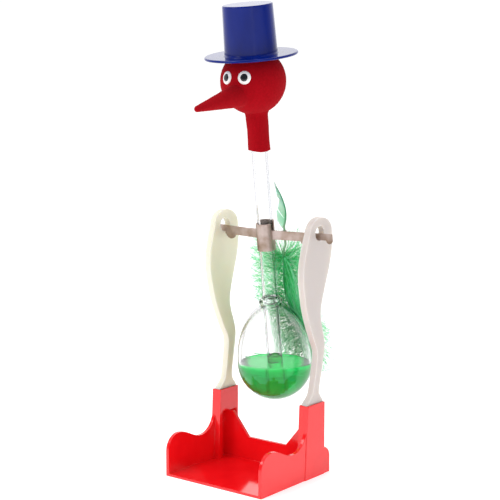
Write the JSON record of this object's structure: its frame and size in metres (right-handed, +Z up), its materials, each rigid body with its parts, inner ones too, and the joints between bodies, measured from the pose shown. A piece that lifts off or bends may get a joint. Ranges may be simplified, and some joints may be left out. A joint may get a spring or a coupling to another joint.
{
  "type": "drinking bird toy",
  "caption": "Glass drinking bird with a felt head, top hat and feather, hung from a sheet-metal strap that rocks in the eyes of two moulded legs on a tray-like base.",
  "frame": {"origin": "middle of the base's underside, where the toy stands on a table", "axes": "+Z up; the bird faces and dips towards -Y; +X is along the pivot line, to the bird's left"},
  "size_m": [0.0584, 0.0699, 0.1795],
  "materials": {
    "tray_plastic": "glossy moulded red polystyrene",
    "leg_plastic": "milky natural moulded plastic, slightly translucent",
    "strap_metal": "plain plated sheet metal, stamped",
    "clear_glass": "clear blown glass",
    "red_felt": "deep red flocked felt",
    "beak_filler": "soft filler under the felt",
    "hat_plastic": "glossy thin-walled blue plastic",
    "eye_white": "gloss white disc",
    "eye_black": "gloss black disc",
    "feather_shaft": "pale dyed quill",
    "feather_pale": "pale green dyed vane",
    "feather_green": "green dyed marabou down",
    "green_liquid": "clear green volatile liquid"
  },
  "bodies": {
    "stand": {"base_tray": "tray_plastic", "leg_left": "leg_plastic", "leg_right": "leg_plastic"},
    "bird": {"pivot_strap": "strap_metal", "strap_clip": "strap_metal", "glass_tube": "clear_glass", "glass_bulb": "clear_glass", "glass_seal": "clear_glass", "head_glass": "clear_glass", "glass_nib": "clear_glass", "head_felt": "red_felt", "beak_core": "beak_filler", "top_hat": "hat_plastic", "eye_left": "eye_white", "eye_right": "eye_white", "pupil_left": "eye_black", "pupil_right": "eye_black", "feather_quill": "feather_shaft", "feather_vane": "feather_pale", "feather_down": "feather_green", "liquid_column": "green_liquid"},
    "liquid": {"liquid_pool": "green_liquid"}
  },
  "joints": [
    {"name": "swing", "type": "hinge", "parent": "stand", "child": "bird", "pos_m": [0, 0.0126, 0.0926], "axis": [1, 0, 0], "range_deg": [-35, 78]},
    {"name": "liquid_level", "type": "hinge", "parent": "bird", "child": "liquid", "pos_m": [0, 0.01708, 0.04096], "axis": [1, 0, 0], "range_deg": [-78, 35], "deforming": ["liquid_pool"]}
  ],
  "couplings": [
    {"joint": "liquid_level", "follows": "swing", "ratio": -1}
  ]
}
